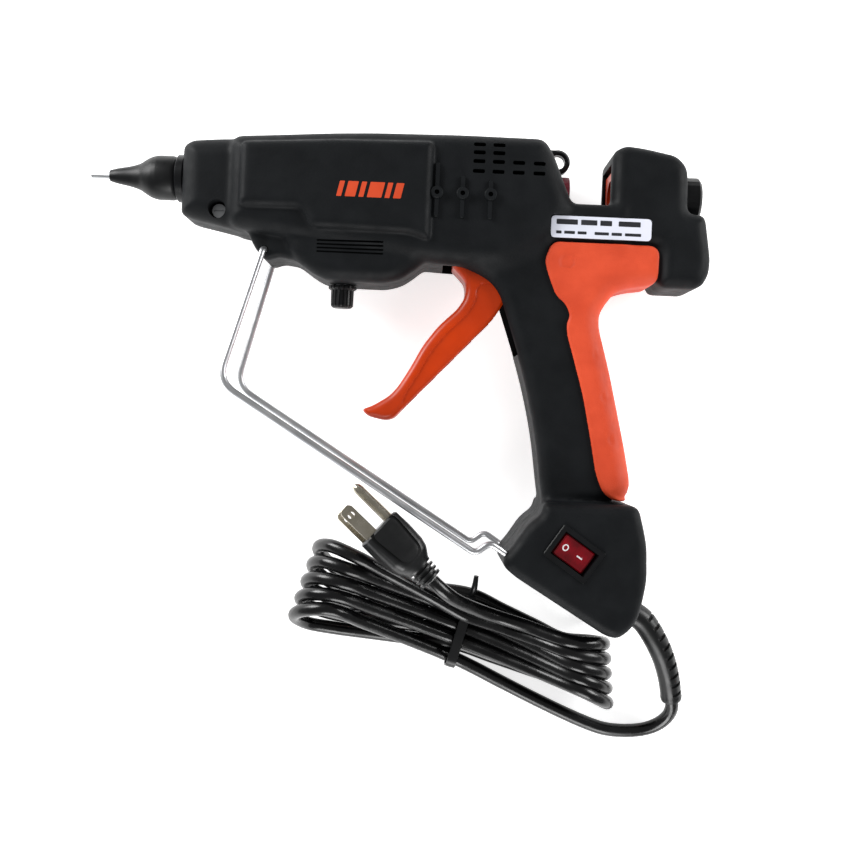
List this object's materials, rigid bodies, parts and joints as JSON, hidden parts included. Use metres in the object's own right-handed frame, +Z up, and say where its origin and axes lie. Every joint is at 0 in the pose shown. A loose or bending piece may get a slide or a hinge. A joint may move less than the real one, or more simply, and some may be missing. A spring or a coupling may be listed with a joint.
{
  "type": "glue gun",
  "caption": "Corded hot-melt glue gun lying on its side, with trigger feed, wire stand, rocker switch, heat knob, soft grip and a tied mains lead.",
  "frame": {"origin": "on the surface that the gun lies on, under the glue stick's axis, at the middle of the right side panel", "axes": "+X along the barrel from nozzle to tail, +Y to the top of the barrel, +Z up from the surface, from the right side to the left side of the gun"},
  "size_m": [0.2876, 0.2786, 0.0593],
  "materials": {
    "housing_plastic": "moulded black glass-filled nylon, satin",
    "soft_grip": "soft orange thermoplastic rubber, matt",
    "orange_plastic": "moulded orange nylon, satin",
    "plated_steel": "zinc-plated steel",
    "chamber_aluminium": "cast aluminium",
    "cord_rubber": "black vinyl, satin",
    "silicone": "dark red silicone",
    "insulator": "white heat-resistant ceramic fibre",
    "circuit_board": "glass-epoxy board",
    "label": "printed silver-white film",
    "rocker_red": "translucent red polycarbonate",
    "nickel_brass": "nickel-plated brass"
  },
  "bodies": {
    "housing": {"left_shell": "housing_plastic", "right_shell": "housing_plastic", "nose_collar": "housing_plastic", "nozzle_sleeve": "housing_plastic", "inlet_ring": "housing_plastic", "hanging_loop": "housing_plastic", "switch_body": "housing_plastic", "cord_clamp": "housing_plastic", "left_grip_pad": "soft_grip", "right_grip_pad": "soft_grip", "nozzle_tip": "plated_steel", "heater_element": "plated_steel", "thermal_fuse": "plated_steel", "sleeve_clamp": "plated_steel", "trigger_pivot_pin": "plated_steel", "return_spring": "plated_steel", "stand_wire": "plated_steel", "potentiometer": "plated_steel", "nose_screw": "plated_steel", "barrel_front_screw": "plated_steel", "barrel_rear_screw": "plated_steel", "neck_screw": "plated_steel", "tail_screw": "plated_steel", "handle_screw": "plated_steel", "base_screw": "plated_steel", "melt_chamber": "chamber_aluminium", "strain_relief": "cord_rubber", "cord_lead": "cord_rubber", "cord_hank": "cord_rubber", "cord_tail": "cord_rubber", "cord_tie": "cord_rubber", "plug_body": "cord_rubber", "inlet_sleeve": "silicone", "front_insulator": "insulator", "rear_insulator": "insulator", "control_board": "circuit_board", "label_plate": "label", "plug_blade_upper": "nickel_brass", "plug_blade_lower": "nickel_brass", "plug_ground_pin": "nickel_brass"},
    "trigger": {"trigger": "orange_plastic"},
    "feed": {"feed_carriage": "orange_plastic", "draw_bar": "plated_steel", "drive_pin": "plated_steel", "carriage_pin": "plated_steel", "jaw_pin": "plated_steel"},
    "jaw": {"grip_jaw": "plated_steel"},
    "rocker": {"switch_rocker": "rocker_red"},
    "knob": {"temperature_knob": "housing_plastic"}
  },
  "joints": [
    {"name": "trigger_pull", "type": "hinge", "parent": "housing", "child": "trigger", "pos_m": [0.075, -0.032, 0.027], "axis": [0, 0, 1], "range_deg": [0, 27], "stiffness_Nm_per_rad": 1, "springref_deg": -11.46},
    {"name": "feed_slide", "type": "slide", "parent": "housing", "child": "feed", "axis": [-1, 0, 0], "range_m": [0, 0.00845], "deforming": ["return_spring"]},
    {"name": "jaw_bite", "type": "hinge", "parent": "feed", "child": "jaw", "pos_m": [0.15, 0.0083, 0.027], "axis": [0, 0, 1], "range_deg": [-8, 0], "stiffness_Nm_per_rad": 0.02, "springref_deg": 5.73},
    {"name": "rocker_tilt", "type": "hinge", "parent": "housing", "child": "rocker", "pos_m": [0.1173, -0.16345, 0.0504], "axis": [-0.5592, -0.829, 0], "range_deg": [0, 15]},
    {"name": "knob_turn", "type": "hinge", "parent": "housing", "child": "knob", "pos_m": [0.008, -0.05, 0.027], "axis": [0, 1, 0], "range_deg": [0, 270]}
  ],
  "couplings": [
    {"joint": "feed_slide", "follows": "trigger_pull", "m_per_rad": 0.01783}
  ]
}
